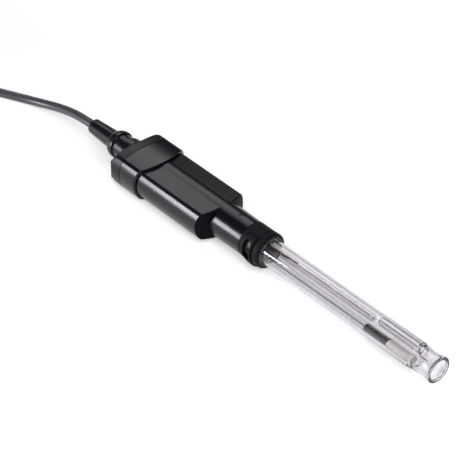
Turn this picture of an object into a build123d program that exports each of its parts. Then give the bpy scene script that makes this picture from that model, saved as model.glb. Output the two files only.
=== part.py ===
"""Ion-selective electrode with a refill ring, a glass combination shaft and a lead.

The shaft lies along X with its tip at +X. Z is up and z = 0 is the surface it lies on.
Lengths are in millimetres. Radii and places round the shaft are measured from its axis,
and angles round it start at +Y and turn towards +Z.
"""
from build123d import *
from math import cos, degrees, pi, radians, sin, sqrt, tan
import os

# Glass shaft
shaft_radius = 6.0
glass_wall = 0.9
glass_exposed = 97.5
glass_behind_nose = 34.5
seal_from_tip = 11.7
seal_web = 0.7
seal_bore = 4.55
waist_from_tip = 6.3
waist_radius = 5.5
rim_flat = 1.2
rim_round = 0.45
membrane_radius = 4.8
membrane_thickness = 0.7
membrane_dimple = 0.3
membrane_dimple_radius = 2.9
membrane_recess = 0.35
glass_gap = 0.05
bond_grind = 0.2
seal_slope = -0.06
rim_slope = 0.12

# Tubes inside the glass, side by side on a line that leans down to the front side
pair_angle = 40.2
reference_offset = 2.65
reference_radius = 2.15
reference_wall = 0.3
reference_wire_radius = 0.25
cartridge_radius = 1.8
cartridge_length = 13.0
junction_radius = 2.2
junction_offset = 2.8
junction_length = 13.5
sensor_offset = 2.1
sensor_radius = 1.7
sensor_wall = 0.55
sensor_end_gap = 1.7
bead_radius = 0.6
lead_radius = 0.3
lead_spacing = 0.45
dark_leads_from_nose = 15.0
splice_from_end = 7.2
splice_length = 3.0
splice_radius = 0.55
fine_lead_radius = 0.12
element_offset = 2.9
element_radius = 2.05
element_wall = 0.45
element_length = 23.3
element_wire_radius = 0.2
element_wire_offset = 0.45
element_wire_from_tip = 5.8
element_wire_step = 3.0
element_wire_bend = 1.2
potting_length = 7.0
potting_flange = 2.0
potting_lip = 0.2

# Refill ring and its seat
seat_radius = 7.0
seat_behind_ring = 19.0
nose_length = 3.2
nose_radius = 8.3
nose_round = 1.15
ring_length = 8.4
ring_play = 0.1
ring_clearance = 0.05
ring_radius = 8.2
ring_edge = 0.25
pad_radius = 9.1
pad_start = 122.0
pad_end = 248.0
pad_rear_gap = 0.8
pad_slope = 5.2
pad_front_gap = 0.4
window_angle = 172.0
window_across = 10.0
window_along = 4.4
window_from_front = 3.3
ring_travel = 90.0
fill_hole_radius = 0.8
fill_hole_angle = 174.0
stop_angle = -20.0
stop_width_angle = 14.0
stop_depth = 0.6
stop_length = 0.8
stop_gap = 0.3
stop_radial_gap = 0.1
o_ring_section = 0.62
o_ring_spread = 2.95
o_ring_gap = 0.02

# Head housing
neck_length = 17.3
neck_radius = 8.35
neck_taper = 0.2
neck_mark_radius = 0.55
neck_mark_depth = 0.5
neck_mark_from_ring = 7.8
panel_length = 39.8
front_wall = 4.2
front_arc_radius = 26.0
front_round = 0.5
ridge_half_width = 2.75
edge_half_width = 11.4
edge_height = 6.8
chamfer_across = 0.8
chamfer_down = 0.95
body_half_width = 13.95
housing_wall = 1.9
seam_bond = 0.03
groove_width = 1.2
groove_depth = 0.8
band_length = 14.2
band_arc_radius = 25.0
band_rise = 0.85
band_seat_depth = 0.9
band_seat_end = 4.6
gasket_length = 0.4
gasket_inset = 0.4
cap_length = 7.0
cap_bulge = 2.6
cap_corner_round = 2.0
cap_wall = 2.2
sole_flat = 0.35

# Circuit board inside the head
board_length = 36.0
board_width = 18.0
board_thickness = 1.6
board_from_front_wall = 5.0
rib_thickness = 1.2
rib_inset = 5.0
chip_sizes = ((9.0, 9.0, 1.4), (6.0, 5.0, 1.2), (4.0, 5.0, 1.0))
chip_margin = 3.0
wire_radius = 0.35
wire_spacing = 1.6
wire_count = 3
wire_from_axis = 2.6

# Strain relief
relief_ring_radius = 6.6
relief_ring_length = 4.0
boss_radius = 5.7
boss_length = 9.2
collar_radius = 6.55
collar_length = 1.7
dome_length = 3.7
dome_fullness = 0.6
sleeve_root_radius = 4.45
sleeve_tip_radius = 3.6
sleeve_length = 15.1
sleeve_round = 0.8
stem_radius = 4.5
stem_flange_radius = 5.4
stem_flange_length = 1.0
relief_seat_depth = 0.35
relief_rise = 0.8

# Lead, hank and plug
cable_radius = 2.1
hank_centre = (-232.2, -3.2)
hank_straight = 26.0
hank_fold_radius = 14.7
hank_across = 2
hank_high = 3
hank_corner = 1.9
tie_thickness = 0.5
tie_gap = 0.05
tie_width = 6.0
boot_length = 15.0
boot_root_radius = 4.6
boot_tip_radius = 3.1
boot_rings = 4
boot_ring_depth = 0.5
boot_step = 0.6
plug_radius = 7.45
plug_length = 20.0
plug_shoulder = 3.5
plug_flats = 8
plug_flat_depth = 0.45
plug_flat_from_boot = 7.0
plug_flat_length = 10.0
plug_flat_width = 3.2
spigot_radius = 4.5
spigot_length = 3.2
nut_radius = 7.25
nut_grip_length = 8.0
nut_thread_radius = 5.95
nut_thread_length = 6.0
nut_ridges = 20
nut_ridge_depth = 0.35
nut_ridge_margin = 1.2
nut_edge = 0.4
nut_bore_radius = 5.3
nut_lip_length = 2.8
nut_play = 0.2
nut_clearance = 0.06
insert_radius = 5.15
insert_length = 1.6
seal_section = 0.7
pin_radius = 0.5
pin_length = 7.0
pin_circle = 2.75
outer_pins = 4

# Stations along the shaft, from the tip back to the end of the sleeve
ring_room = ring_length + 2 * ring_play
relief_length = boss_length + collar_length + dome_length + sleeve_length
head_length = neck_length + panel_length + band_length + gasket_length + cap_length
overall_length = glass_exposed + nose_length + ring_room + head_length + relief_length
x_tip = overall_length / 2
x_nose = x_tip - glass_exposed
x_nose_rear = x_nose - nose_length
x_neck_end = x_nose_rear - ring_room
x_body_front = x_neck_end - neck_length
x_band_front = x_body_front - panel_length
x_band_rear = x_band_front - band_length
x_cap_front = x_band_rear - gasket_length
x_cap_rear = x_cap_front - cap_length
x_boss_end = x_cap_rear - boss_length
x_sleeve_end = -overall_length / 2
x_cavity_front = x_body_front - front_wall
x_glass_rear = x_nose - glass_behind_nose
x_seal = x_tip - seal_from_tip
x_sensor_end = x_seal - element_length - sensor_end_gap
x_ring_front = x_nose_rear - ring_play
x_ring_rear = x_ring_front - ring_length
x_window = x_ring_front - window_from_front
x_reference_front = x_seal - junction_length - glass_gap
x_cartridge_rear = x_reference_front - cartridge_length
x_board_front = x_cavity_front - board_from_front_wall
bore_radius = shaft_radius - glass_wall
bonded_radius = shaft_radius - bond_grind
axis_height = neck_radius + band_rise - sole_flat
exit_height = axis_height + relief_rise

os.makedirs("parts", exist_ok=True)


def keep(node, solid, on_axis=True):
    """Write one piece; what is placed from the shaft's axis is lifted to its height."""
    placed = Pos(0, 0, axis_height) * solid if on_axis else solid
    export_step(placed, "parts/" + node + ".step")


def turned(*outline):
    """A solid of revolution about the shaft's axis from (x, radius) corners."""
    return revolve(make_face(Polyline(*outline, close=True)), Axis.X)


def rod(x_start, x_end, radius, offset=0.0):
    """A straight round rod along the shaft; offset is its place on the line of the tubes."""
    disc = Plane.YZ.offset(x_start) * Circle(radius)
    return beside(offset) * extrude(disc, x_end - x_start)


def beside(offset):
    """A move along the line on which the inner tubes lie; positive is down to the front side."""
    lean = radians(pair_angle)
    return Pos(0, -offset * cos(lean), -offset * sin(lean))


def part_turned(outline, angle_start, angle_end):
    """The outline of (x, radius) corners turned from one angle to another round the shaft."""
    face = make_face(Polyline(*outline, close=True))
    return Rot(X=angle_start) * revolve(face, Axis.X, revolution_arc=angle_end - angle_start)


def sector(x_start, x_end, r_in, r_out, angle_start, angle_end):
    """Part of a plain ring between two angles round the shaft."""
    outline = ((x_start, r_in), (x_end, r_in), (x_end, r_out), (x_start, r_out))
    return part_turned(outline, angle_start, angle_end)


def radial_hole(x, angle, radius, r_in, r_out):
    """A drilled hole that points away from the shaft's axis."""
    drill = Plane(origin=(x, r_in, 0), z_dir=(0, 1, 0)) * Circle(radius)
    return Rot(X=angle) * extrude(drill, r_out - r_in)


def head_face(rise, crowned):
    """Cross-section of the head, grown by rise; plain panels meet in a low roof."""
    ridge_height = sqrt(neck_radius ** 2 - ridge_half_width ** 2)
    slope = (ridge_height - edge_height) / (edge_half_width - ridge_half_width)
    peak = (0, (neck_radius if crowned else ridge_height + slope * ridge_half_width) + rise)
    edge = (edge_half_width + rise, edge_height + rise)
    shoulder = (edge[0] + chamfer_across, edge[1] - chamfer_down)
    side = (body_half_width + rise, 0)
    if crowned:
        top = [ThreePointArc((-edge[0], edge[1]), peak, edge)]
    else:
        top = [Line((-edge[0], edge[1]), peak), Line(peak, edge)]
    right = [
        Line(edge, shoulder),
        ThreePointArc(shoulder, side, (shoulder[0], -shoulder[1])),
        Line((shoulder[0], -shoulder[1]), (edge[0], -edge[1])),
    ]
    bottom = [line.mirror(Plane.XZ) for line in top]
    left = [line.mirror(Plane.YZ) for line in right]
    return make_face(top + right + bottom + left)


def head_prism(x_start, x_end, rise, crowned=False):
    """The head's cross-section drawn out along the shaft."""
    return extrude(Plane.YZ.offset(x_start) * head_face(rise, crowned), x_end - x_start)


def behind_arc(x_front, arc_radius):
    """Everything behind a bowed front edge, as seen from above."""
    reach = 2 * body_half_width
    half = arc_radius * 0.8
    sag = arc_radius - sqrt(arc_radius ** 2 - half ** 2)
    x_corner = x_front - sag
    outline = [
        ThreePointArc((x_corner, -half), (x_front, 0), (x_corner, half)),
        Line((x_corner, half), (x_corner - 3 * reach, half)),
        Line((x_corner - 3 * reach, half), (x_corner - 3 * reach, -half)),
        Line((x_corner - 3 * reach, -half), (x_corner, -half)),
    ]
    return Pos(0, 0, -reach) * extrude(make_face(outline), 2 * reach)


def above_sole():
    """Everything above the flat that the head stands on."""
    size = 4 * overall_length
    return Pos(0, 0, size / 2 - axis_height) * Box(size, size, size)


def housing():
    """The front housing as one hollow form, before it is parted in two halves."""
    x_seat = x_band_front - band_seat_end
    x_rear = x_band_rear + rib_thickness
    form = head_prism(x_seat, x_body_front, 0) & behind_arc(x_body_front, front_arc_radius)
    form = fillet(form.faces().sort_by(Axis.X)[-1].edges(), front_round)
    form += rod(x_seat, x_body_front - front_round, neck_radius)
    groove = behind_arc(x_band_front + groove_width, band_arc_radius)
    groove &= Box(4 * overall_length, 4 * body_half_width, 2 * (edge_height - chamfer_down))
    form -= groove - head_prism(x_seat - 1, x_body_front, -groove_depth)
    form += head_prism(x_rear, x_seat, -band_seat_depth)
    form += turned(
        (x_cavity_front, 0), (x_cavity_front, neck_radius), (x_body_front - front_round, neck_radius),
        (x_neck_end, neck_radius - neck_taper), (x_neck_end, 0))
    form -= head_prism(x_rear - 1, x_cavity_front, -housing_wall)
    form -= rod(x_cavity_front - 1, x_neck_end + 1, seat_radius + seam_bond)
    x_mark = x_neck_end - neck_mark_from_ring
    mark_bottom = neck_radius - neck_mark_depth
    return form - radial_hole(x_mark, 90, neck_mark_radius, mark_bottom, neck_radius + 1)


def upper_shell(form):
    """Upper half of the housing."""
    size = 2 * overall_length
    return form & Pos(0, 0, size / 2) * Box(size, size, size)


def lower_shell(form):
    """Lower half of the housing, with two ribs that carry the circuit board."""
    size = 2 * overall_length
    half = form & Pos(0, 0, -size / 2) * Box(size, size, size)
    top = -board_thickness / 2
    for x in (x_board_front - rib_inset, x_board_front - board_length + rib_inset):
        rib = head_prism(x - rib_thickness / 2, x + rib_thickness / 2, -housing_wall)
        half += rib & Pos(x, 0, top - neck_radius) * Box(size, size, 2 * neck_radius)
    return half


def badge_band():
    """Crowned band behind the housing; its bowed front edge laps over the panels."""
    x_seat = x_band_front - band_seat_end
    band = head_prism(x_band_rear, x_band_front, band_rise, crowned=True)
    band &= behind_arc(x_band_front, band_arc_radius)
    band -= head_prism(x_band_rear - 1, x_seat, -band_seat_depth + seam_bond)
    lap = head_prism(x_seat, x_band_front + 1, seam_bond)
    lap += rod(x_seat, x_band_front + 1, neck_radius + seam_bond)
    return (band - lap) & above_sole()


def cap_gasket():
    """Thin seal in the line between band and cap."""
    seal = head_prism(x_cap_front, x_band_rear, band_rise - gasket_inset, crowned=True)
    seal -= head_prism(x_cap_front - 1, x_band_rear + 1, -housing_wall)
    return seal & above_sole()


def rear_cap():
    """Cap that closes the head, with a bowed back and a hole for the strain relief."""
    cap = head_prism(x_cap_rear, x_cap_front, band_rise, crowned=True)
    height = neck_radius + band_rise
    x_edge = x_cap_rear + cap_bulge
    back = make_face([
        ThreePointArc((x_edge, height), (x_cap_rear, 0), (x_edge, -height)),
        Line((x_edge, -height), (x_cap_front + 1, -height)),
        Line((x_cap_front + 1, -height), (x_cap_front + 1, height)),
        Line((x_cap_front + 1, height), (x_edge, height)),
    ])
    reach = 2 * body_half_width
    cap &= Pos(0, reach, 0) * extrude(Plane.XZ * back, 2 * reach)
    width = 2 * (body_half_width + band_rise)
    plan = Pos(x_cap_front + 1, 0) * Rectangle(2 * (cap_length + 1), width)
    corners = plan.vertices().group_by(Axis.X)[0]
    plan = fillet(corners, cap_corner_round)
    cap &= Pos(0, 0, -reach) * extrude(plan, 2 * reach)
    cap -= head_prism(x_cap_rear + cap_wall, x_cap_front + 1, -housing_wall)
    way = rod(x_cap_rear - 1, x_cap_front + 1, stem_radius + seam_bond)
    way += rod(x_cap_rear - 1, x_cap_rear + relief_seat_depth, relief_ring_radius + seam_bond)
    return (cap - Pos(0, 0, relief_rise) * way) & above_sole()


def strain_relief():
    """Moulded rubber boss, domed collar and sleeve, pulled through the cap."""
    x_seat = x_cap_rear + relief_seat_depth
    x_inside = x_cap_rear + cap_wall + seam_bond
    x_rear_face = x_inside + stem_flange_length
    x_ring = x_seat - relief_ring_length
    x_dome = x_boss_end - collar_length
    x_sleeve = x_dome - dome_length
    sag = dome_fullness * (collar_radius - sleeve_root_radius) / 2
    edges = [
        Line((x_rear_face, 0), (x_rear_face, stem_flange_radius)),
        Line((x_rear_face, stem_flange_radius), (x_inside, stem_flange_radius)),
        Line((x_inside, stem_flange_radius), (x_inside, stem_radius)),
        Line((x_inside, stem_radius), (x_seat, stem_radius)),
        Line((x_seat, stem_radius), (x_seat, relief_ring_radius)),
        Line((x_seat, relief_ring_radius), (x_ring, relief_ring_radius)),
        Line((x_ring, relief_ring_radius), (x_ring, boss_radius)),
        Line((x_ring, boss_radius), (x_boss_end, boss_radius)),
        Line((x_boss_end, boss_radius), (x_boss_end, collar_radius)),
        Line((x_boss_end, collar_radius), (x_dome, collar_radius)),
        ThreePointArc((x_dome, collar_radius), (x_dome - dome_length / 2, collar_radius - sag),
                      (x_sleeve, sleeve_root_radius)),
        Line((x_sleeve, sleeve_root_radius), (x_sleeve_end, sleeve_tip_radius)),
        Line((x_sleeve_end, sleeve_tip_radius), (x_sleeve_end, 0)),
        Line((x_sleeve_end, 0), (x_rear_face, 0)),
    ]
    relief = revolve(make_face(edges), Axis.X)
    end_edge = relief.edges().filter_by(GeomType.CIRCLE).sort_by(Axis.X)[0]
    return Pos(0, 0, relief_rise) * fillet(end_edge, sleeve_round)


def circuit_board():
    """Board that lies on the two ribs of the lower shell."""
    x_middle = x_board_front - board_length / 2
    return Pos(x_middle, 0, 0) * Box(board_length, board_width, board_thickness)


def board_chips():
    """Packages on top of the board, spread between the ends where the wires land."""
    x = x_board_front - board_length + chip_margin
    spare = board_length - 2 * chip_margin - sum(length for length, width, height in chip_sizes)
    chips = []
    for length, width, height in chip_sizes:
        chips.append(Pos(x + length / 2, 0, (board_thickness + height) / 2) * Box(length, width, height))
        x += length + spare / (len(chip_sizes) - 1)
    return Compound(chips)


def wires(x_start, x_end, z_start):
    """Fine wires from a face at x_start that dip on to the top of the board at x_end."""
    landing = board_thickness / 2 + wire_radius
    strands = []
    for index in range(wire_count):
        y = (index - (wire_count - 1) / 2) * wire_spacing
        middle = (x_start + x_end) / 2
        bend = min(abs(x_end - x_start), abs(z_start - landing)) / 3
        path = FilletPolyline((x_start, y, z_start), (middle, y, z_start), (middle, y, landing),
                              (x_end, y, landing), radius=bend)
        face = Plane(origin=path @ 0, z_dir=path % 0) * Circle(wire_radius)
        strands.append(sweep(face, path=path))
    return Compound(strands)


def ring_seat():
    """Liner in the neck: the glass is bonded in it, and the refill ring turns on it up to a key."""
    x_rear = x_neck_end - seat_behind_ring
    half_key = stop_width_angle / 2
    seat = rod(x_rear, x_nose, seat_radius)
    seat += sector(x_neck_end + seam_bond, x_ring_rear + stop_length,
                   bonded_radius, seat_radius + stop_depth,
                   stop_angle - half_key, stop_angle + half_key)
    seat -= rod(x_rear - 1, x_nose + 1, bonded_radius + glass_gap)
    for side in (-1, 1):
        x = x_window + side * o_ring_spread
        half = o_ring_section / 2 + o_ring_gap
        groove = rod(x - half, x + half, seat_radius + 1)
        seat -= groove - rod(x - half, x + half, seat_radius - o_ring_section + o_ring_gap)
    return seat - radial_hole(x_window, fill_hole_angle, fill_hole_radius, bore_radius, seat_radius + 1)


def seat_o_rings():
    """Two seals in the seat, one each side of the fill hole."""
    middle_radius = seat_radius - o_ring_section / 2 + 2 * o_ring_gap
    rings = []
    for side in (-1, 1):
        section = Pos(x_window + side * o_ring_spread, middle_radius) * Circle(o_ring_section / 2)
        rings.append(revolve(section, Axis.X))
    return Compound(rings)


def refill_ring():
    """Turning ring whose window bares the fill hole, or covers it a quarter turn on."""
    ring = rod(x_ring_rear, x_ring_front, ring_radius)
    ring = chamfer(ring.edges().filter_by(GeomType.CIRCLE), ring_edge)
    ring += thumb_pad()
    window_plane = Plane(origin=(x_window, 0, 0), x_dir=(0, 0, 1), z_dir=(0, 1, 0))
    window = extrude(window_plane * SlotOverall(window_across, window_along), 2 * pad_radius)
    ring -= Rot(X=window_angle) * window
    ring -= rod(x_ring_rear - 1, x_ring_front + 1, seat_radius + ring_clearance)
    return ring - stop_channel()


def thumb_pad():
    """Raised part of the refill ring, which slopes up to a step near the front."""
    x_rise = x_ring_rear + pad_rear_gap
    x_end = x_ring_front - pad_front_gap
    outline = ((x_rise, seat_radius), (x_rise, ring_radius), (x_rise + pad_slope, pad_radius),
               (x_end, pad_radius), (x_end, seat_radius))
    return part_turned(outline, pad_start, pad_end)


def stop_channel():
    """Space in the rear of the refill ring in which the key of its seat runs."""
    slack = degrees(stop_gap / seat_radius)
    half = stop_width_angle / 2 + slack
    end = stop_angle + ring_travel + half
    r_out = seat_radius + stop_depth + stop_radial_gap
    x_end = x_ring_rear + stop_length + stop_gap
    return sector(x_ring_rear - 1, x_end, seat_radius - 1, r_out, stop_angle - half, end)


def nose_ring():
    """Fixed ring that keeps the refill ring on its seat."""
    ring = rod(x_nose_rear, x_nose, nose_radius)
    ring = fillet(ring.edges().filter_by(GeomType.CIRCLE).sort_by(Axis.X)[-1], nose_round)
    ring = chamfer(ring.edges().filter_by(GeomType.CIRCLE).sort_by(Axis.X)[0], ring_edge)
    return ring - rod(x_nose_rear - 1, x_nose + 1, seat_radius + seam_bond)


def outer_glass():
    """Clear tube with a fused shoulder, a waist and a flared rim."""
    x_waist = x_tip - waist_from_tip
    x_rim = x_tip - rim_flat
    end_bore = membrane_radius + glass_gap
    x_pocket = x_tip - membrane_recess - membrane_thickness - glass_gap
    waist_bore = waist_radius - glass_wall
    edges = [
        Line((x_glass_rear, bore_radius), (x_glass_rear, bonded_radius)),
        Line((x_glass_rear, bonded_radius), (x_nose, bonded_radius)),
        Line((x_nose, bonded_radius), (x_nose, shaft_radius)),
        Line((x_nose, shaft_radius), (x_seal, shaft_radius)),
        Spline((x_seal, shaft_radius), (x_waist, waist_radius), (x_rim, shaft_radius),
               tangents=((1, seal_slope), (1, rim_slope))),
        Line((x_rim, shaft_radius), (x_tip, shaft_radius)),
        Line((x_tip, shaft_radius), (x_tip, end_bore)),
        Line((x_tip, end_bore), (x_pocket, end_bore)),
        Line((x_pocket, end_bore), (x_pocket, end_bore - glass_wall / 3)),
        Spline((x_pocket, end_bore - glass_wall / 3), (x_waist, waist_bore),
               (x_seal + seal_web, seal_bore)),
        Line((x_seal + seal_web, seal_bore), (x_seal, seal_bore)),
        Line((x_seal, seal_bore), (x_seal, bore_radius)),
        Line((x_seal, bore_radius), (x_glass_rear, bore_radius)),
    ]
    glass = revolve(make_face(edges), Axis.X)
    tip_edges = glass.edges().filter_by(GeomType.CIRCLE).group_by(Axis.X)[-1]
    glass = fillet(tip_edges.sort_by(SortBy.RADIUS)[-1], rim_round)
    return glass - radial_hole(x_window, fill_hole_angle, fill_hole_radius, bore_radius - 1, seat_radius)


def sensing_membrane():
    """Flat glass membrane with a shallow dimple, sealed in the rim."""
    x_face = x_tip - membrane_recess
    ball = (membrane_dimple_radius ** 2 + membrane_dimple ** 2) / (2 * membrane_dimple)
    disc = rod(x_face - membrane_thickness, x_face, membrane_radius)
    return disc - Pos(x_face - membrane_dimple + ball, 0, 0) * Sphere(ball)


def closed_tube(x_round, x_open, radius, wall, offset):
    """A glass tube with one rounded, closed end."""
    towards = 1 if x_round > x_open else -1
    x_ball = x_round - towards * radius
    outer = rod(x_open, x_ball, radius) + Pos(x_ball, 0, 0) * Sphere(radius)
    bore = rod(x_open - towards, x_ball, radius - wall) + Pos(x_ball, 0, 0) * Sphere(radius - wall)
    return beside(offset) * (outer - bore)


def sensor_tube():
    """Slim tube for the temperature sensor, closed towards the tip."""
    x_rear = x_glass_rear + potting_length / 2
    return closed_tube(x_sensor_end, x_rear, sensor_radius, sensor_wall, -sensor_offset)


def sensor_bead():
    """Temperature sensor at the closed end of its tube."""
    x = x_sensor_end - sensor_wall - bead_radius - glass_gap
    return beside(-sensor_offset) * Pos(x, 0, 0) * Sphere(bead_radius)


def sensor_leads():
    """Two leads with a sleeved splice near the ring and fine wires on to the bead."""
    x_rear = x_glass_rear + potting_length / 2 + glass_gap
    x_dark = x_nose + dark_leads_from_nose
    x_splice = x_dark - splice_from_end
    x_bead = x_sensor_end - sensor_wall - 2 * bead_radius - 2 * glass_gap
    leads = rod(x_rear, x_dark, lead_radius, -sensor_offset - lead_spacing)
    leads += rod(x_rear, x_splice, lead_radius, -sensor_offset + lead_spacing)
    leads += rod(x_splice - splice_length / 2, x_splice + splice_length / 2, splice_radius, -sensor_offset)
    return leads + rod(x_splice, x_bead, fine_lead_radius, -sensor_offset)


def reference_tube():
    """Lower tube of the pair; it holds the cartridge."""
    x_rear = x_glass_rear + potting_length / 2
    bore = reference_radius - reference_wall
    tube = rod(x_rear, x_reference_front, reference_radius, reference_offset)
    return tube - rod(x_rear - 1, x_reference_front + 1, bore, reference_offset)


def reference_wire():
    """Silver wire that runs to the cartridge."""
    x_rear = x_glass_rear + potting_length / 2 + glass_gap
    return rod(x_rear, x_cartridge_rear - glass_gap, reference_wire_radius, reference_offset)


def reference_cartridge():
    """Dark reference cartridge in the end of its tube."""
    return rod(x_cartridge_rear, x_reference_front, cartridge_radius, reference_offset)


def junction_plug():
    """Porous plug between the cartridge and the fused shoulder."""
    plug = rod(x_seal - junction_length, x_seal, junction_radius, junction_offset)
    return fillet(plug.edges().filter_by(GeomType.CIRCLE), junction_radius / 8)


def element_tube():
    """Short tube beside the plug, closed towards the head and open at the shoulder."""
    return closed_tube(x_seal - element_length, x_seal, element_radius, element_wall, -element_offset)


def element_wire():
    """Fine wire out of the short tube towards the membrane."""
    x_rear = x_seal - element_length + element_wall + element_wire_radius
    x_end = x_tip - element_wire_from_tip
    lean = radians(pair_angle)
    stations = (
        (x_rear, -element_offset),
        (x_seal - element_wire_step / 2, -element_offset),
        (x_seal + element_wire_step / 2, -element_wire_offset),
        (x_end, -element_wire_offset),
    )
    points = [(x, -s * cos(lean), -s * sin(lean)) for x, s in stations]
    path = FilletPolyline(*points, radius=element_wire_bend)
    face = Plane(origin=path @ 0, z_dir=path % 0) * Circle(element_wire_radius)
    return sweep(face, path=path)


def potting_plug():
    """Resin that closes the back of the glass round the tubes and wires."""
    x_front = x_glass_rear + potting_length
    plug = rod(x_glass_rear, x_front, bore_radius - glass_gap)
    plug += rod(x_glass_rear - potting_flange, x_glass_rear, shaft_radius + potting_lip)
    x_tubes = x_glass_rear + potting_length / 2
    plug -= rod(x_tubes, x_front + 1, reference_radius + glass_gap, reference_offset)
    plug -= rod(x_tubes, x_front + 1, sensor_radius + glass_gap, -sensor_offset)
    return plug


def cable_path(points):
    """Route of a lead: straight runs joined by arcs as large as the runs allow."""
    radii = []
    for before, corner, after in zip(points, points[1:], points[2:]):
        run_in = Vector(*corner) - Vector(*before)
        run_out = Vector(*after) - Vector(*corner)
        half_turn = radians(run_in.get_angle(run_out)) / 2
        radii.append(0.45 * min(run_in.length, run_out.length) / tan(half_turn))
    path = FilletPolyline(*points, radius=radii)
    print("arc radii", [round(radius, 1) for radius in radii], "length", round(path.length, 1))
    return path


def cable_tube(points):
    """A stretch of the lead that isn't put away."""
    path = cable_path(points)
    face = Plane(origin=path @ 0, z_dir=path % 0) * Circle(cable_radius)
    tube = sweep(face, path=path)
    section_times_length = pi * cable_radius ** 2 * path.length
    print("tube volume", round(tube.volume, 1), "section times length", round(section_times_length, 1))
    return tube


def hank_band(grow, corner, height_from):
    """Ring like a race track: the runs and folds of the put-away lead, seen from above."""
    half = cable_radius * hank_across + grow
    outer = SlotCenterToCenter(hank_straight, 2 * (hank_fold_radius + half))
    inner = SlotCenterToCenter(hank_straight, 2 * (hank_fold_radius - half))
    ring = extrude(outer - inner, 2 * (cable_radius * hank_high + grow))
    ring = fillet(ring.edges().group_by(Axis.Z)[0] + ring.edges().group_by(Axis.Z)[-1], corner)
    return Pos(0, 0, height_from) * ring


def cable_hank():
    """The put-away length of the lead, as the outer shape of its folded runs."""
    return Pos(*hank_centre) * hank_band(0, hank_corner, tie_thickness + tie_gap)


def hank_tie():
    """Strap round the runs on the near side of the hank."""
    corner = hank_corner + tie_gap
    strap = hank_band(tie_gap + tie_thickness, corner + tie_thickness, 0)
    strap -= hank_band(tie_gap, corner, tie_thickness)
    side = hank_fold_radius
    return Pos(*hank_centre) * (strap & Pos(0, -side, 0) * Box(tie_width, 2 * side, 8 * side))


def plug_boot():
    """Tapered rubber boot behind the plug, with rings that let it bend."""
    boot = turned((0, 0), (0, boot_tip_radius), (boot_length, boot_root_radius), (boot_length, 0))
    pitch = boot_length / (boot_rings + 1.5)
    for index in range(boot_rings):
        x = pitch * (index + 1)
        radius = boot_tip_radius + (boot_root_radius - boot_tip_radius) * x / boot_length
        groove = rod(x, x + pitch / 3, radius + 1) - rod(x - 1, x + pitch, radius - boot_ring_depth)
        boot -= groove
    return boot


def plug_body():
    """Moulded grip of the plug with flats round it and a spigot for the nut."""
    x_end = boot_length + plug_length
    body = turned(
        (boot_length, 0), (boot_length, boot_root_radius + boot_step),
        (boot_length + plug_shoulder, plug_radius), (x_end, plug_radius), (x_end, 0))
    x_flat = boot_length + plug_flat_from_boot + plug_flat_length / 2
    flat = Pos(x_flat, plug_radius, 0) * Box(plug_flat_length, 2 * plug_flat_depth, plug_flat_width)
    for index in range(plug_flats):
        body -= Rot(X=360 * (index + 0.5) / plug_flats) * flat
    return body + rod(x_end, x_end + spigot_length, spigot_radius)


def plug_insert():
    """Insulator that holds the contacts and keeps the nut on."""
    x = boot_length + plug_length + spigot_length
    insert = rod(x, x + insert_length, insert_radius)
    for centre in pin_places():
        insert -= centre * rod(x - 1, x + insert_length + 1, pin_radius)
    return insert


def pin_places():
    """Places of the contacts: one in the middle and the others round it."""
    places = [Pos(0, 0, 0)]
    for index in range(outer_pins):
        places.append(Rot(X=360 * (index + 0.5) / outer_pins) * Pos(0, pin_circle, 0))
    return places


def plug_pins():
    """The five contacts."""
    x = boot_length + plug_length + spigot_length
    pin = rod(x, x + insert_length + pin_length, pin_radius)
    pin = chamfer(pin.edges().sort_by(Axis.X)[-1], pin_radius / 2)
    pins = [centre * pin for centre in pin_places()]
    return Compound(pins)


def plug_seal():
    """Seal in front of the insulator, inside the nut."""
    x = boot_length + plug_length + spigot_length + insert_length + seal_section / 2
    section = Pos(x, insert_radius - seal_section / 2) * Circle(seal_section / 2)
    return revolve(section, Axis.X)


def coupling_nut():
    """Ridged nut that turns freely on the plug's spigot."""
    x_rear = boot_length + plug_length + nut_play
    x_grip = x_rear + nut_grip_length
    x_front = x_grip + nut_thread_length
    edge = nut_radius - nut_thread_radius
    nut = turned(
        (x_rear, 0), (x_rear, nut_radius), (x_grip - edge / 2, nut_radius), (x_grip, nut_radius - edge / 2),
        (x_grip, nut_thread_radius), (x_front - nut_edge, nut_thread_radius),
        (x_front, nut_thread_radius - nut_edge), (x_front, 0))
    ridge_length = nut_grip_length - nut_ridge_margin
    flute = rod(x_rear - 1, x_rear + ridge_length, 2 * nut_ridge_depth)
    flute = Pos(0, nut_radius + nut_ridge_depth, 0) * flute
    for index in range(nut_ridges):
        nut -= Rot(X=360 * index / nut_ridges) * flute
    nut -= rod(x_rear - 1, x_front + 1, spigot_radius + nut_clearance)
    return nut - rod(x_rear + nut_lip_length, x_front + 1, nut_bore_radius)


# Route of the lead on the surface, from the sleeve to the hank and from the hank to the plug
lead_points = [
    (x_sleeve_end, 0.0, exit_height),
    (x_sleeve_end - 4.5, 0.0, exit_height - 0.05),
    (x_sleeve_end - 12.0, 0.3, 8.75),
    (x_sleeve_end - 20.5, 0.5, 7.0),
    (x_sleeve_end - 29.5, 0.1, 4.8),
    (x_sleeve_end - 38.5, -1.6, 2.9),
    (x_sleeve_end - 47.5, -4.7, 2.1),
    (x_sleeve_end - 57.0, -9.3, 2.1),
    (x_sleeve_end - 67.5, -14.2, 2.1),
    (x_sleeve_end - 79.0, -18.2, 2.2),
    (x_sleeve_end - 91.0, -20.0, 2.5),
    (x_sleeve_end - 103.0, -20.1, 2.65),
    (-222.0, -20.0, 2.65),
]
tail_points = [
    (-244.0, -20.0, 11.05),
    (-253.0, -20.0, 11.05),
    (-262.5, -18.6, 9.9),
    (-272.0, -15.6, 8.2),
    (-281.0, -14.0, 7.45),
    (-288.5, -14.0, 7.45),
]

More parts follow.
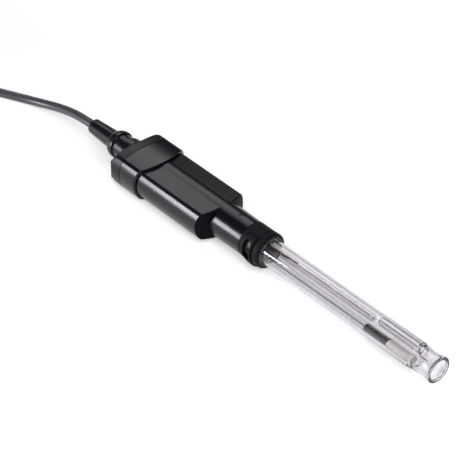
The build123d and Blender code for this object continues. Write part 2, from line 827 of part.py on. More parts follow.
# Write every piece
housing_form = housing()
keep("upper_shell", upper_shell(housing_form))
keep("lower_shell", lower_shell(housing_form))
keep("badge_band", badge_band())
keep("cap_gasket", cap_gasket())
keep("rear_cap", rear_cap())
keep("strain_relief", strain_relief())
keep("circuit_board", circuit_board())
keep("board_chips", board_chips())
x_stem_end = x_cap_rear + cap_wall + seam_bond + stem_flange_length
x_landing = x_board_front - board_length + wire_spacing
keep("lead_wires", wires(x_stem_end, x_landing, wire_from_axis + relief_rise))
keep("shaft_leads", wires(x_glass_rear - potting_flange, x_board_front - wire_spacing, wire_from_axis))
keep("ring_seat", ring_seat())
keep("seat_o_rings", seat_o_rings())
keep("refill_ring", refill_ring())
keep("nose_ring", nose_ring())
keep("outer_glass", outer_glass())
keep("sensing_membrane", sensing_membrane())
keep("sensor_tube", sensor_tube())
keep("sensor_bead", sensor_bead())
keep("sensor_leads", sensor_leads())
keep("reference_tube", reference_tube())
keep("reference_wire", reference_wire())
keep("reference_cartridge", reference_cartridge())
keep("junction_plug", junction_plug())
keep("element_tube", element_tube())
keep("element_wire", element_wire())
keep("potting_plug", potting_plug())
keep("cable", cable_tube(lead_points), on_axis=False)
keep("cable_tail", cable_tube(tail_points), on_axis=False)
keep("cable_hank", cable_hank(), on_axis=False)
keep("hank_tie", hank_tie(), on_axis=False)
plug_place = Pos(*tail_points[-1]) * Rot(Z=180)
keep("plug_boot", plug_place * plug_boot(), on_axis=False)
keep("plug_body", plug_place * plug_body(), on_axis=False)
keep("plug_insert", plug_place * plug_insert(), on_axis=False)
keep("plug_pins", plug_place * plug_pins(), on_axis=False)
keep("plug_seal", plug_place * plug_seal(), on_axis=False)
keep("coupling_nut", plug_place * coupling_nut(), on_axis=False)
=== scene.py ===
import bpy
from math import cos, pi, radians, sin, tan
from mathutils import Matrix, Vector


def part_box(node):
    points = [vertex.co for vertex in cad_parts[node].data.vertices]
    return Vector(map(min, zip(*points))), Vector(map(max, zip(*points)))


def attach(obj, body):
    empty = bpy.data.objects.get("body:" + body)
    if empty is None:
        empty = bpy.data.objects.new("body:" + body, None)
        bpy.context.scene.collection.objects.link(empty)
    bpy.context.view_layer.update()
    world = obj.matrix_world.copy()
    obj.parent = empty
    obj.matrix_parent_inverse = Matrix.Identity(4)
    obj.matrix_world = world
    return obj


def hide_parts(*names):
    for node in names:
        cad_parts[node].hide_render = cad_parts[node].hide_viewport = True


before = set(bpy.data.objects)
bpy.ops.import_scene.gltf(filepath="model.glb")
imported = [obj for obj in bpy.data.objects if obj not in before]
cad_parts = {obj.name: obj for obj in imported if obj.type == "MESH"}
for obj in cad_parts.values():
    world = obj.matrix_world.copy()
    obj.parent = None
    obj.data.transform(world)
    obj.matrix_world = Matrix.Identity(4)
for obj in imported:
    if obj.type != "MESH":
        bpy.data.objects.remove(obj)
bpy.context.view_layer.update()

# Surface, light and camera. The electrode lies on a white paper sweep with a low rim all round.
# Soft boxes hang behind its head, above it and past its tip, and a strip lamp stands low at its
# near left side, in a room that is otherwise dim; a long lens looks down from its near right.
SWEEP_RADIUS = 4.0
SWEEP_RIM_HEIGHT = 0.55
SWEEP_RIM_WIDTH = 0.06875
PAPER_WHITE = (0.87, 0.87, 0.87, 1)
PAPER_GLOW = 0.42
ROOM_GREY = (0.021, 0.021, 0.023, 1)
LAMP_TINT = (1.0, 0.985, 1.03)
HEAD_PLACE = Vector((-0.04, 0.0, 0.01))
LAMPS = {
    "rear_softbox": {"aim": (-0.573, 0.40, 0.715), "far": 1.3, "size": (0.8, 0.62), "power": 4.1},
    "side_strip": {"aim": (-0.573, -0.80, 0.165), "far": 0.65, "size": (0.11, 0.25), "power": 3.1},
    "overhead_box": {"aim": (0.3, -0.32, 0.9), "far": 1.5, "size": (1.1, 1.1), "power": 12.0},
    "front_box": {"aim": (0.9, -0.1, 0.4), "far": 1.3, "size": (0.5, 0.5), "power": 4.0},
}
CAMERA_PLACE = (0.46379, -0.42704, 0.51067)
CAMERA_TURN = 48.285
CAMERA_DOWN = 38.22
CAMERA_ROLL = 0.555
CAMERA_LENS = 149.34


def paper_material():
    """Matt white paper that shows white to the lens, in gloss and through glass, and keeps shadows."""
    material = bpy.data.materials.new("sweep_paper")
    material.use_nodes = True
    nodes, links = material.node_tree.nodes, material.node_tree.links
    shader = nodes["Principled BSDF"]
    shader.inputs["Base Color"].default_value = PAPER_WHITE
    shader.inputs["Roughness"].default_value = 0.9
    shader.inputs["Specular IOR Level"].default_value = 0.1
    shader.inputs["Emission Color"].default_value = (1, 1, 1, 1)
    ray = nodes.new("ShaderNodeLightPath")
    either = nodes.new("ShaderNodeMath")
    either.operation = "MAXIMUM"
    links.new(ray.outputs["Is Camera Ray"], either.inputs[0])
    links.new(ray.outputs["Is Glossy Ray"], either.inputs[1])
    any_of = nodes.new("ShaderNodeMath")
    any_of.operation = "MAXIMUM"
    links.new(either.outputs["Value"], any_of.inputs[0])
    links.new(ray.outputs["Is Transmission Ray"], any_of.inputs[1])
    glow = nodes.new("ShaderNodeMath")
    glow.operation = "MULTIPLY"
    glow.inputs[1].default_value = PAPER_GLOW
    links.new(any_of.outputs["Value"], glow.inputs[0])
    links.new(glow.outputs["Value"], shader.inputs["Emission Strength"])
    return material


bpy.ops.object.select_all(action="DESELECT")
bpy.ops.mesh.primitive_circle_add(vertices=96, radius=SWEEP_RADIUS, fill_type="NGON")
sweep = bpy.context.object
sweep.name = "paper_sweep"
bpy.ops.object.mode_set(mode="EDIT")
bpy.ops.mesh.select_mode(type="VERT")
bpy.ops.mesh.select_all(action="SELECT")
bpy.ops.mesh.inset(thickness=SWEEP_RIM_WIDTH)
bpy.ops.mesh.select_all(action="INVERT")
bpy.ops.transform.translate(value=(0, 0, SWEEP_RIM_HEIGHT))
bpy.ops.object.mode_set(mode="OBJECT")
sweep.data.materials.append(paper_material())

world = bpy.data.worlds.new("studio_room")
world.use_nodes = True
world.node_tree.nodes["Background"].inputs["Color"].default_value = ROOM_GREY
world.node_tree.nodes["Background"].inputs["Strength"].default_value = 1.0
bpy.context.scene.world = world

for lamp_name, facts in LAMPS.items():
    lamp = bpy.data.lights.new(lamp_name, "AREA")
    lamp.shape = "RECTANGLE"
    lamp.size, lamp.size_y = facts["size"]
    lamp.energy = facts["power"]
    lamp.color = LAMP_TINT
    holder = bpy.data.objects.new(lamp_name, lamp)
    aim = Vector(facts["aim"]).normalized()
    holder.location = HEAD_PLACE + aim * facts["far"]
    holder.rotation_euler = (-aim).to_track_quat("-Z", "Y").to_euler()
    bpy.context.scene.collection.objects.link(holder)

camera = bpy.data.objects.new("camera", bpy.data.cameras.new("camera"))
camera.data.lens = CAMERA_LENS
camera.data.sensor_width = 36
camera.data.clip_start = 0.01
camera.location = CAMERA_PLACE
turn = Matrix.Rotation(radians(CAMERA_TURN), 4, "Z")
tilt = Matrix.Rotation(radians(90 - CAMERA_DOWN), 4, "X")
roll = Matrix.Rotation(radians(CAMERA_ROLL), 4, "Z")
camera.rotation_euler = (turn @ tilt @ roll).to_euler()
bpy.context.scene.collection.objects.link(camera)
bpy.context.scene.camera = camera
bpy.context.scene.view_settings.view_transform = "Standard"

# Shaft tube. A 12 mm clear glass tube, ground a little thinner where it is bonded in the head,
# fused to the element at its shoulder, necked in and flared to a rim at the tip.
SHAFT_RADIUS = 0.0060
SHAFT_WALL = 0.0009
BONDED_RADIUS = 0.0058
SEAL_FROM_TIP = 0.0117
SEAL_BORE = 0.00455
SHOULDER_RUN = ((0.0, 6.0), (0.25, 5.98), (0.6, 5.86), (1.0, 5.68), (1.5, 5.56), (2.2, 5.51))
FLARE_RUN = ((6.4, 5.50), (5.4, 5.51), (4.5, 5.56), (3.7, 5.66), (2.9, 5.80), (2.2, 5.92), (1.5, 5.99))
INNER_FLARE = ((1.1, 4.5), (2.0, 4.55), (3.2, 4.58), (4.6, 4.58), (6.0, 4.6), (8.0, 4.58), (10.0, 4.56))
RIM_ROUND = 0.00045
SHAFT_LOOPS = (0.33, 0.66)
SEAL_LENGTH = 0.0007
POLE = 0.00001
WELD_REACH = 0.000012
POCKET_RADIUS = 0.00485
POCKET_DEPTH = 0.0011
FILL_HOLE = {"radius": 0.0008, "angle": 174, "drill_length": 0.003}
GLASS_STEPS = 128


def turned_piece(name, outline, axis, steps):
    """Draws a line of (x, radius) points round an axis along X, ring by ring, and closes it."""
    bpy.ops.object.select_all(action="DESELECT")
    x, radius = outline[0]
    bpy.ops.mesh.primitive_circle_add(vertices=steps, radius=radius, rotation=(0, pi / 2, 0))
    piece = bpy.context.object
    piece.name = name
    bpy.ops.object.transform_apply(rotation=True)
    bpy.ops.object.mode_set(mode="EDIT")
    bpy.ops.mesh.select_all(action="SELECT")
    bpy.ops.transform.translate(value=(x, axis[0], axis[1]))
    for (x, radius), (x_next, radius_next) in zip(outline, outline[1:]):
        bpy.ops.mesh.extrude_edges_move(TRANSFORM_OT_translate={"value": (x_next - x, 0, 0)})
        grow = radius_next / radius
        bpy.ops.transform.resize(value=(1, grow, grow), center_override=(x_next, axis[0], axis[1]))
    bpy.ops.mesh.select_all(action="SELECT")
    bpy.ops.mesh.remove_doubles(threshold=WELD_REACH)
    bpy.ops.mesh.delete_loose()
    bpy.ops.mesh.select_all(action="SELECT")
    bpy.ops.mesh.normals_make_consistent(inside=False)
    bpy.ops.object.mode_set(mode="OBJECT")
    bpy.ops.object.shade_smooth_by_angle(angle=radians(32))
    return piece


def rounded(x, radius, size, towards, steps=5):
    """Points of a quarter round from a side to an end face; towards is +1 if the face looks to +X."""
    points = []
    for index in range(steps + 1):
        angle = pi / 2 * index / steps
        points.append((x - towards * size * (1 - sin(angle)), radius - size * (1 - cos(angle))))
    return points


def cut_away(piece, cutter):
    """Cuts one form out of another and removes the cutter."""
    bpy.ops.object.select_all(action="DESELECT")
    bpy.context.view_layer.objects.active = piece
    piece.select_set(True)
    cut = piece.modifiers.new("cut", "BOOLEAN")
    cut.operation = "DIFFERENCE"
    cut.object = cutter
    bpy.ops.object.modifier_apply(modifier=cut.name)
    bpy.data.objects.remove(cutter)


def clear_glass(name, tint, ior, depth_tint, depth):
    """Clear glass with the least trace of drawing lines, greyer where its wall is looked along.

    Lamps reach what lies inside and behind it, with a little less light for each wall.
    """
    material = bpy.data.materials.new(name)
    material.use_nodes = True
    nodes, links = material.node_tree.nodes, material.node_tree.links
    shader = nodes["Principled BSDF"]
    shader.inputs["Base Color"].default_value = (*tint, 1)
    shader.inputs["IOR"].default_value = ior
    shader.inputs["Transmission Weight"].default_value = 1.0
    place = nodes.new("ShaderNodeTexCoord")
    stretch = nodes.new("ShaderNodeMapping")
    stretch.inputs["Scale"].default_value = (25, 700, 700)
    waves = nodes.new("ShaderNodeTexNoise")
    waves.inputs["Scale"].default_value = 1.0
    waves.inputs["Detail"].default_value = 2
    links.new(place.outputs["Object"], stretch.inputs["Vector"])
    links.new(stretch.outputs["Vector"], waves.inputs["Vector"])
    gloss = nodes.new("ShaderNodeMapRange")
    gloss.inputs["To Min"].default_value = 0.0
    gloss.inputs["To Max"].default_value = 0.03
    links.new(waves.outputs["Fac"], gloss.inputs["Value"])
    links.new(gloss.outputs["Result"], shader.inputs["Roughness"])
    ray = nodes.new("ShaderNodeLightPath")
    let_through = nodes.new("ShaderNodeBsdfTransparent")
    let_through.inputs["Color"].default_value = (0.9, 0.9, 0.905, 1)
    choose = nodes.new("ShaderNodeMixShader")
    links.new(ray.outputs["Is Shadow Ray"], choose.inputs["Fac"])
    links.new(shader.outputs["BSDF"], choose.inputs[1])
    links.new(let_through.outputs["BSDF"], choose.inputs[2])
    links.new(choose.outputs["Shader"], nodes["Material Output"].inputs["Surface"])
    absorb = nodes.new("ShaderNodeVolumeAbsorption")
    absorb.inputs["Color"].default_value = (*depth_tint, 1)
    absorb.inputs["Density"].default_value = depth
    links.new(absorb.outputs["Volume"], nodes["Material Output"].inputs["Volume"])
    return material


def own_piece(piece, material, body, slot, *nodes):
    """Gives a piece its finish and its body, and hides the nodes that it stands for. The slot is not
    used.
    """
    piece.data.materials.clear()
    piece.data.materials.append(material)
    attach(piece, body)
    if nodes:
        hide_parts(*nodes)
    return piece


glass_low, glass_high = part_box("outer_glass")
x_glass_rear, x_tip = glass_low.x, glass_high.x
axis_height = (glass_low.z + glass_high.z) / 2
shaft_axis = (0.0, axis_height)
x_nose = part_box("nose_ring")[1].x
x_seal = x_tip - SEAL_FROM_TIP
x_pocket = x_tip - POCKET_DEPTH
glass_line = [(x_glass_rear, BONDED_RADIUS), (x_nose, BONDED_RADIUS), (x_nose, SHAFT_RADIUS)]
glass_line += [(x_nose + (x_seal - x_nose) * part, SHAFT_RADIUS) for part in SHAFT_LOOPS]
glass_line += [(x_seal + far / 1000, radius / 1000) for far, radius in SHOULDER_RUN]
glass_line += [(x_tip - far / 1000, radius / 1000) for far, radius in FLARE_RUN]
glass_line += rounded(x_tip, SHAFT_RADIUS, RIM_ROUND, 1)
glass_line += [(x_tip, POCKET_RADIUS), (x_pocket, POCKET_RADIUS)]
glass_line += [(x_tip - far / 1000, radius / 1000) for far, radius in INNER_FLARE]
glass_line += [(x_seal + SEAL_LENGTH, SEAL_BORE), (x_seal, SEAL_BORE)]
glass_line += [(x_seal, SHAFT_RADIUS - SHAFT_WALL), (x_glass_rear, SHAFT_RADIUS - SHAFT_WALL)]
glass_line += [glass_line[0]]
outer_glass = turned_piece("shaft_tube", glass_line, shaft_axis, GLASS_STEPS)
window_low, window_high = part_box("seat_o_rings")
x_window = (window_low.x + window_high.x) / 2
hole_turn = radians(FILL_HOLE["angle"])
bpy.ops.mesh.primitive_cylinder_add(vertices=32, radius=FILL_HOLE["radius"],
                                    depth=FILL_HOLE["drill_length"],
                                    rotation=(hole_turn - pi / 2, 0, 0),
                                    location=(x_window, SHAFT_RADIUS * cos(hole_turn),
                                              axis_height + SHAFT_RADIUS * sin(hole_turn)))
cut_away(outer_glass, bpy.context.object)
tube_glass = clear_glass("shaft_glass", (0.975, 0.97, 0.977), 1.47, (0.87, 0.865, 0.872), 1100)
own_piece(outer_glass, tube_glass, "electrode", "clear_glass", "outer_glass")

# Sensing membrane. A thin disc of special glass with a shallow dimple, sealed into the rim at
# the tip, where it meets the sample.
MEMBRANE_RADIUS = 0.0048
BACK_RING = 0.0025
DIMPLE_DEPTH = 0.0003
DIMPLE_RUN = ((2.9, 0.0), (2.4, 0.1), (1.8, 0.19), (1.2, 0.25), (0.6, 0.29))
membrane_low, membrane_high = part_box("sensing_membrane")
x_back, x_face = membrane_low.x, membrane_high.x
membrane_line = [(x_back, POLE), (x_back, BACK_RING), (x_back, MEMBRANE_RADIUS)]
membrane_line += [(x_face, MEMBRANE_RADIUS)]
membrane_line += [(x_face - deep / 1000, radius / 1000) for radius, deep in DIMPLE_RUN]
membrane_line += [(x_face - DIMPLE_DEPTH, POLE)]
membrane = turned_piece("membrane_disc", membrane_line, shaft_axis, 96)
membrane_glass = clear_glass("membrane_glass", (0.98, 0.98, 0.985), 1.5, (0.9, 0.9, 0.91), 500)
own_piece(membrane, membrane_glass, "electrode", "inner_glass", "sensing_membrane")

# Inner tubes. The sensor tube and the element tube are thin glass, drawn and closed in a flame
# at one end; the reference tube is open and holds the cartridge.
INNER_STEPS = 64
SENSOR_WALL = 0.00055
ELEMENT_WALL = 0.00045
REFERENCE_WALL = 0.0003


def tube_facts(node):
    """Ends, radius and axis of a straight round node, read from its box."""
    low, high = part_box(node)
    return low.x, high.x, (high.z - low.z) / 2, ((low.y + high.y) / 2, (low.z + high.z) / 2)


def closed_tube(name, x_round, x_open, radius, wall, axis):
    """A thin tube with one round closed end."""
    towards = 1 if x_round > x_open else -1
    x_ball = x_round - towards * radius
    line = [(x_open, radius)]
    arc = [pi / 2 * index / 10 for index in range(11)]
    line += [(x_ball + towards * radius * sin(a), max(radius * cos(a), POLE)) for a in arc]
    bore = radius - wall
    line += [(x_ball + towards * bore * sin(a), max(bore * cos(a), POLE)) for a in reversed(arc)]
    line += [(x_open, bore), (x_open, radius)]
    return turned_piece(name, line, axis, INNER_STEPS)


thin_glass = clear_glass("thin_glass", (0.98, 0.975, 0.982), 1.47, (0.87, 0.865, 0.872), 1100)
x_open, x_round, radius, axis = tube_facts("sensor_tube")
tube = closed_tube("sensor_sheath", x_round, x_open, radius, SENSOR_WALL, axis)
own_piece(tube, thin_glass, "electrode", "inner_glass", "sensor_tube")
x_round, x_open, radius, axis = tube_facts("element_tube")
tube = closed_tube("element_sheath", x_round, x_open, radius, ELEMENT_WALL, axis)
own_piece(tube, thin_glass, "electrode", "inner_glass", "element_tube")
x_rear, x_front, radius, axis = tube_facts("reference_tube")
bore = radius - REFERENCE_WALL
tube_line = [(x_rear, radius), (x_front, radius), (x_front, bore), (x_rear, bore), (x_rear, radius)]
tube = turned_piece("reference_sheath", tube_line, axis, INNER_STEPS)
own_piece(tube, thin_glass, "electrode", "inner_glass", "reference_tube")

# Reference cartridge, junction plug and wires in the tubes: a dark brown pressed cartridge, a
# beige porous plug that lets a little light through, silver wires and the sensor's thin leads.
NODE_WELD_REACH = 0.000002
CREASE_REACH = 0.00012


def solid_finish(name, colour, roughness, metallic=0.0, mottle=0.15, mottle_scale=900.0,
                 grain=0.0, grain_scale=2500.0, gloss_range=0.06, level=0.5):
    """A moulded, rubber, ceramic or metal finish with a mottled tone, uneven gloss and fine grain."""
    material = bpy.data.materials.new(name)
    material.use_nodes = True
    nodes, links = material.node_tree.nodes, material.node_tree.links
    shader = nodes["Principled BSDF"]
    shader.inputs["Metallic"].default_value = metallic
    shader.inputs["Specular IOR Level"].default_value = level
    place = nodes.new("ShaderNodeTexCoord")
    cloud = nodes.new("ShaderNodeTexNoise")
    cloud.inputs["Scale"].default_value = mottle_scale
    cloud.inputs["Detail"].default_value = 6
    links.new(place.outputs["Object"], cloud.inputs["Vector"])
    gloss = nodes.new("ShaderNodeMapRange")
    gloss.inputs["To Min"].default_value = roughness - gloss_range
    gloss.inputs["To Max"].default_value = roughness + gloss_range
    links.new(cloud.outputs["Fac"], gloss.inputs["Value"])
    links.new(gloss.outputs["Result"], shader.inputs["Roughness"])
    shade = nodes.new("ShaderNodeMix")
    shade.data_type = "RGBA"
    shade.inputs["A"].default_value = (*[c * (1 - mottle) for c in colour], 1)
    shade.inputs["B"].default_value = (*[min(1, c * (1 + mottle)) for c in colour], 1)
    links.new(cloud.outputs["Fac"], shade.inputs["Factor"])
    links.new(shade.outputs["Result"], shader.inputs["Base Color"])
    if grain:
        pits = nodes.new("ShaderNodeTexNoise")
        pits.inputs["Scale"].default_value = grain_scale
        pits.inputs["Detail"].default_value = 3
        relief = nodes.new("ShaderNodeBump")
        relief.inputs["Strength"].default_value = grain
        relief.inputs["Distance"].default_value = 0.00004
        links.new(place.outputs["Object"], pits.inputs["Vector"])
        links.new(pits.outputs["Fac"], relief.inputs["Height"])
        links.new(relief.outputs["Normal"], shader.inputs["Normal"])
    return material


def moulded_copy(node, body, material, slot, edge=0.0, angle=30, rounds=(), creases=(), join=True):
    """A welded copy of a CAD node with its flat faces joined and its edges softened.

    Each of the rounds is a straight edge that is rounded more, as a mould's are, and edges along
    the piece at the y places in creases stay crisp.
    """
    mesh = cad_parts[node].data.copy()
    piece = bpy.data.objects.new(node + "_finish", mesh)
    bpy.context.scene.collection.objects.link(piece)
    bpy.ops.object.select_all(action="DESELECT")
    bpy.context.view_layer.objects.active = piece
    piece.select_set(True)
    bpy.ops.mesh.customdata_custom_splitnormals_clear()
    bpy.ops.object.mode_set(mode="EDIT")
    bpy.ops.mesh.select_mode(type="EDGE")
    bpy.ops.mesh.select_all(action="SELECT")
    bpy.ops.mesh.remove_doubles(threshold=NODE_WELD_REACH)
    if join:
        bpy.ops.mesh.dissolve_limited(angle_limit=radians(0.5))
    bpy.ops.object.mode_set(mode="OBJECT")
    for line in rounds:
        round_line(piece, *line)
    for place in creases:
        bpy.ops.object.mode_set(mode="EDIT")
        bpy.ops.mesh.select_all(action="DESELECT")
        bpy.ops.object.mode_set(mode="OBJECT")
        points = piece.data.vertices
        for line in piece.data.edges:
            ends = [points[index].co for index in line.vertices]
            line.select = all(abs(abs(end.y) - place) < CREASE_REACH for end in ends)
        bpy.ops.object.mode_set(mode="EDIT")
        bpy.ops.mesh.mark_sharp()
        bpy.ops.object.mode_set(mode="OBJECT")
    if edge:
        soft = piece.modifiers.new("soft_edges", "BEVEL")
        soft.width = edge
        soft.segments = 3
        soft.limit_method = "ANGLE"
        soft.angle_limit = radians(angle)
        soft.use_clamp_overlap = True
        bpy.ops.object.modifier_apply(modifier=soft.name)
    bpy.ops.object.shade_smooth_by_angle(angle=radians(angle), keep_sharp_edges=True)
    if edge:
        even = piece.modifiers.new("even_faces", "WEIGHTED_NORMAL")
        even.keep_sharp = True
        bpy.ops.object.modifier_apply(modifier=even.name)
    return own_piece(piece, material, body, slot, node)


cartridge_brown = solid_finish("cartridge_brown", (0.012, 0.008, 0.0065), 0.6, mottle=0.3, level=0.1)
junction_beige = solid_finish("junction_beige", (0.55, 0.52, 0.485), 0.7, mottle=0.2, mottle_scale=500.0,
                              grain=0.4)
junction_beige.node_tree.nodes["Principled BSDF"].inputs["Transmission Weight"].default_value = 0.25
silver = solid_finish("silver_wire", (0.06, 0.055, 0.05), 0.5, metallic=0.2)
lead_brown = solid_finish("lead_brown", (0.09, 0.035, 0.025), 0.45, mottle=0.3)
bead_glass = solid_finish("sensor_bead", (0.35, 0.34, 0.33), 0.4)
moulded_copy("reference_cartridge", "electrode", cartridge_brown, "cartridge_brown", edge=0.0003)
moulded_copy("junction_plug", "electrode", junction_beige, "junction_ceramic")
moulded_copy("reference_wire", "electrode", silver, "silver_wire")
moulded_copy("element_wire", "electrode", silver, "silver_wire")
moulded_copy("sensor_leads", "electrode", lead_brown, "lead_insulation")
moulded_copy("sensor_bead", "electrode", bead_glass, "chip_epoxy")

# Seat in the neck, with its seals, and the resin behind the glass. The seat's bore is coloured
# pale white as a painted highlight, which shows through the glass at the nose in place of its
# reflections.
seat_plastic = solid_finish("seat_plastic", (0.012, 0.012, 0.014), 0.45)
resin = solid_finish("potting_resin", (0.55, 0.54, 0.52), 0.4)
bore_painted_highlight = solid_finish("bore_painted_highlight", (0.8, 0.8, 0.8), 0.5)
seal_rubber = solid_finish("seal_rubber", (0.006, 0.006, 0.006), 0.55, level=0.3)
SEAT_BORE = 0.0062


def coat(piece, material, is_coated):
    """Gives a second finish to the faces whose centre and normal pass a test."""
    piece.data.materials.append(material)
    for face in piece.data.polygons:
        if is_coated(face.center, face.normal):
            face.material_index = 1


def in_bore(centre, normal):
    """True for a face of the seat's bore."""
    spoke = Vector((0, centre.y, centre.z - axis_height))
    return spoke.length < SEAT_BORE and normal.dot(spoke) < -0.5 * spoke.length


seat = moulded_copy("ring_seat", "electrode", seat_plastic, "seat_plastic", edge=0.00005)
# Painted highlight: the bore is coloured pale so that the glass at the nose reads light.
coat(seat, bore_painted_highlight, in_bore)
moulded_copy("seat_o_rings", "electrode", seal_rubber, "seal_rubber")
moulded_copy("potting_plug", "electrode", resin, "potting_resin")

# Turning ring and nose ring. The ring is moulded in a matt black, turns on the seat and bares
# the fill hole through its window; the nose ring, in the same black, keeps it on.
ring_black = solid_finish("ring_black", (0.0045, 0.004, 0.0062), 0.6, grain=0.25, level=0.15)
moulded_copy("refill_ring", "refill_ring", ring_black, "ring_plastic", edge=0.00015)
moulded_copy("nose_ring", "electrode", ring_black, "ring_plastic", join=False)

# Circuit board with its packages and wires, closed in the head: glass-filled epoxy under a green
# mask, with moulded packages and insulated wires to the lead and to the shaft.


def dress(node, material):
    """Gives a CAD node that keeps its own mesh a finish."""
    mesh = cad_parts[node].data
    mesh.materials.clear()
    mesh.materials.append(material)


epoxy_black = solid_finish("epoxy_black", (0.015, 0.015, 0.015), 0.5)
dress("circuit_board", solid_finish("solder_mask", (0.02, 0.12, 0.05), 0.35))
dress("board_chips", epoxy_black)
dress("lead_wires", lead_brown)
dress("shaft_leads", lead_brown)

# Front housing, two halves of a glossy black moulding with a fine spark-eroded grain, closed on
# each other round the board; the faces beside the neck get a darker, duller copy of the black as painted
# shade.
housing_black = solid_finish("housing_black", (0.005, 0.0045, 0.0075), 0.24, mottle=0.3, grain=0.35,
                             grain_scale=3200.0, gloss_range=0.05, level=0.3)
PANEL_EDGE = (0.0114, 0.0068)
SPINE_EDGE = 0.00275
PANEL_FACE = Vector((0, 0.1239, 0.9923))
CHAMFER_FACE = Vector((0, 0.765, 0.644))
EDGE_ROUND = 0.0009
X_BAND_SEAT = -0.0620
X_FRONT_END = -0.0160
CUTTER_SPARE = 0.001


def round_line(piece, start, end, one_face, other_face, size):
    """Rounds the straight edge from start to end, where faces with the two normals meet.

    The cutter is a bar that stands a little past the edge, hollowed by a cylinder.
    """
    along = (end - start).normalized()
    out = (one_face + other_face).normalized()
    half_fold = one_face.angle(other_face) / 2
    radius = size / tan(half_fold)
    length = (end - start).length
    depth = size * sin(half_fold)
    across = out.cross(along)
    turn = Matrix((across, out, along)).transposed().to_4x4()
    middle = (start + end) / 2
    bpy.ops.mesh.primitive_cube_add(size=1)
    corner = bpy.context.object
    place = Matrix.Translation(middle + out * (CUTTER_SPARE - depth) / 2)
    extent = Matrix.Diagonal((2 * size * cos(half_fold), CUTTER_SPARE + depth, length, 1))
    corner.matrix_world = place @ turn @ extent
    bpy.ops.mesh.primitive_cylinder_add(vertices=96, radius=radius, depth=length + 2 * CUTTER_SPARE)
    core = bpy.context.object
    core.matrix_world = Matrix.Translation(middle - out * radius / cos(half_fold)) @ turn
    cut_away(corner, core)
    cut_away(piece, corner)


def mirrored(vector, side, level):
    """A vector turned over to another side of the head."""
    return Vector((vector[0], side * vector[1], level * vector[2]))


def long_rounds(edge, top_face, x_from, x_to, level, size):
    """The two long edges at the top or at the bottom of the head."""
    lines = []
    for side in (1, -1):
        ends = [mirrored((x, *edge), side, level) + Vector((0, 0, axis_height)) for x in (x_from, x_to)]
        faces = [mirrored(face, side, level) for face in (top_face, CHAMFER_FACE)]
        lines.append((*ends, *faces, size))
    return lines


def on_front(centre, normal):
    """True for a face of the housing's front, beside the neck."""
    return normal.x > 0.5 and X_BAND_SEAT < centre.x < X_FRONT_END


# Painted shade: a darker, less glossy copy of the housing black for the front faces beside the neck.
front_painted_shade = solid_finish("front_painted_shade", (0.004, 0.0037, 0.006), 0.5, level=0.06)
for node, level in (("upper_shell", 1), ("lower_shell", -1)):
    rounds = long_rounds(PANEL_EDGE, PANEL_FACE, X_BAND_SEAT, X_FRONT_END, level, EDGE_ROUND)
    shell = moulded_copy(node, "electrode", housing_black, "housing_plastic", edge=0.00012, angle=20,
                         rounds=rounds, creases=(SPINE_EDGE,))
    coat(shell, front_painted_shade, on_front)

# Band, seal and cap of the head, moulded in the same black. The band holds the back of the
# housing and the cap closes it over a thin seal. The badge's place on the band is bare.
band_black = solid_finish("band_black", (0.005, 0.0045, 0.0075), 0.22, mottle=0.25, grain=0.15,
                          gloss_range=0.04, level=0.3)
cap_black = solid_finish("cap_black", (0.005, 0.0045, 0.0075), 0.34, mottle=0.25, grain=0.2,
                         gloss_range=0.05, level=0.22)
BAND_EDGE = (0.01225, 0.00765)
BAND_TOP = Vector((0, 0.249, 0.9685))
CAP_CORNER = Vector((-0.0774, 0.01225, 0.00765))
BACK_FACE = Vector((-0.900, 0, 0.435))
CORNER_ROUND = 0.002
CORNER_ABOVE = 0.003
CORNER_BELOW = 0.005
for node, finish in (("badge_band", band_black), ("rear_cap", cap_black)):
    low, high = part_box(node)
    x_from, x_to = low.x - CUTTER_SPARE, high.x + CUTTER_SPARE
    rounds = long_rounds(BAND_EDGE, BAND_TOP, x_from, x_to, 1, EDGE_ROUND)
    rounds += long_rounds(BAND_EDGE, BAND_TOP, x_from, x_to, -1, EDGE_ROUND)
    if node == "rear_cap":
        for side, level in ((1, 1), (-1, 1), (1, -1), (-1, -1)):
            corner = mirrored(CAP_CORNER, side, level) + Vector((0, 0, axis_height))
            faces = [mirrored(face, side, level) for face in (BACK_FACE, CHAMFER_FACE)]
            down = faces[0].cross(faces[1]).normalized() * side * level
            ends = (corner - down * CORNER_ABOVE, corner + down * CORNER_BELOW)
            rounds.append((*ends, *faces, CORNER_ROUND))
    moulded_copy(node, "electrode", finish, "band_plastic", edge=0.0002, angle=20, rounds=rounds)
moulded_copy("cap_gasket", "electrode", seal_rubber, "seal_rubber")

# Strain relief, one piece of soft black rubber moulded on the lead, with a domed collar and a
# long sleeve; its flange is held inside the cap.
relief_rubber = solid_finish("relief_rubber", (0.006, 0.0055, 0.0085), 0.28, grain=0.15, level=0.32)
moulded_copy("strain_relief", "electrode", relief_rubber, "relief_rubber", edge=0.00025)

# Lead. A round 4.2 mm cable leaves the sleeve, sinks to the surface and runs out of view, where
# the rest of it is folded into a tied hank; its end runs into the plug's boot.
CABLE_RADIUS = 0.0021
HANK_CENTRE = (-0.2322, -0.0032)
HANK_STRAIGHT = 0.026
FOLD_RADIUS = 0.0147
HANK_FLOOR = 0.00055
FOLD_STEPS = 6
# Column (1 outer, -1 inner), layer and hop of the runs on the near side, in their order.
HANK_RUNS = [(1, 0, 0), (-1, 0, 0), (-1, 1, 0), (1, 1, 0), (-1, 2, 1), (1, 2, 0)]

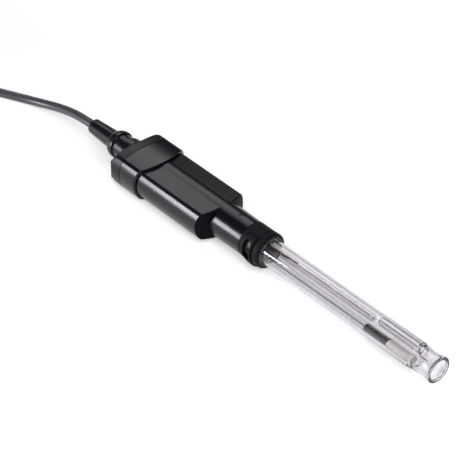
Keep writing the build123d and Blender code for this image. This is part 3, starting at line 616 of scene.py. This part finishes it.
relief_low, relief_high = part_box("strain_relief")
sleeve_end = relief_low.x
exit_height = (relief_low.z + relief_high.z) / 2
lead_route = [
    (sleeve_end, 0.0, exit_height),
    (sleeve_end - 0.0045, 0.0, exit_height - 0.00005),
    (sleeve_end - 0.0120, 0.0003, 0.00875),
    (sleeve_end - 0.0205, 0.0005, 0.0070),
    (sleeve_end - 0.0295, 0.0001, 0.0048),
    (sleeve_end - 0.0385, -0.0016, 0.0029),
    (sleeve_end - 0.0475, -0.0047, 0.0021),
    (sleeve_end - 0.0570, -0.0093, 0.0021),
    (sleeve_end - 0.0675, -0.0142, 0.0021),
    (sleeve_end - 0.0790, -0.0182, 0.0022),
    (sleeve_end - 0.0910, -0.0200, 0.0025),
    (sleeve_end - 0.1030, -0.0201, 0.00265),
    (-0.2220, -0.0200, 0.00265),
]
tail_route = [
    (-0.2440, -0.0200, 0.01105),
    (-0.2530, -0.0200, 0.01105),
    (-0.2625, -0.0186, 0.0099),
    (-0.2720, -0.0156, 0.0082),
    (-0.2810, -0.0140, 0.00745),
    (-0.2885, -0.0140, 0.00745),
]


def hank_route():
    """Control points of the folded turns. A run rises, then moves over, in the fold by the head."""
    points = []
    x_left = HANK_CENTRE[0] - HANK_STRAIGHT / 2
    x_right = HANK_CENTRE[0] + HANK_STRAIGHT / 2
    step = pi / FOLD_STEPS
    for (column, layer, hop), (next_column, next_layer, _) in zip(HANK_RUNS, HANK_RUNS[1:]):
        for side, x_fold in ((-1, x_left), (1, x_right)):
            for index in range(FOLD_STEPS):
                angle = (index + 0.5) * step
                part = (index + 0.5) / FOLD_STEPS if side == 1 else 0
                slide = max(0, 2 * part - 1)
                here = column + (next_column - column) * slide
                height = layer + (next_layer - layer) * min(1, 2 * part) + hop * sin(pi * slide)
                reach = (FOLD_RADIUS + here * CABLE_RADIUS) / cos(step / 2)
                x = x_fold + side * reach * sin(angle)
                y = HANK_CENTRE[1] + side * reach * cos(angle)
                points.append((x, y, HANK_FLOOR + CABLE_RADIUS * (1 + 2 * height)))
    return points


route = lead_route + hank_route() + tail_route
line = bpy.data.curves.new("cable_lead", "CURVE")
line.dimensions = "3D"
spline = line.splines.new("NURBS")
spline.points.add(len(route) - 1)
for point, place in zip(spline.points, route):
    point.co = (*place, 1)
spline.order_u = 3
spline.use_endpoint_u = True
spline.resolution_u = 10
line.bevel_depth = CABLE_RADIUS
line.bevel_resolution = 6
line.use_fill_caps = True
cable = bpy.data.objects.new("cable_lead", line)
bpy.context.scene.collection.objects.link(cable)
jacket = solid_finish("cable_jacket", (0.046, 0.044, 0.049), 0.34, grain=0.1)
own_piece(cable, jacket, "electrode", "cable_jacket", "cable", "cable_hank", "cable_tail")

# Strap round the hank, a plain rubber band that keeps the turns together as the electrode is
# sold.
strap_rubber = solid_finish("strap_rubber", (0.015, 0.015, 0.016), 0.55)
strap = moulded_copy("hank_tie", "electrode", strap_rubber, "hank_strap", edge=0.0001)

# Plug: ribbed rubber boot, moulded grip, insulator with five gold-plated contacts, a seal, and
# a nickel-plated nut that turns on the grip.
plug_black = solid_finish("plug_black", (0.012, 0.012, 0.013), 0.4, grain=0.3)
gold = solid_finish("contact_gold", (0.8, 0.58, 0.25), 0.25, metallic=1.0)
nickel = solid_finish("nickel_plate", (0.66, 0.65, 0.62), 0.28, metallic=1.0)
boot = moulded_copy("plug_boot", "electrode", relief_rubber, "relief_rubber", edge=0.0002)
grip = moulded_copy("plug_body", "electrode", plug_black, "plug_plastic", edge=0.0003)
insulator = moulded_copy("plug_insert", "electrode", plug_black, "plug_plastic")
contacts = moulded_copy("plug_pins", "electrode", gold, "contact_metal")
ring_seal = moulded_copy("plug_seal", "electrode", seal_rubber, "seal_rubber")
nut = moulded_copy("coupling_nut", "coupling_nut", nickel, "nut_metal", edge=0.0001)

bpy.context.view_layer.update()
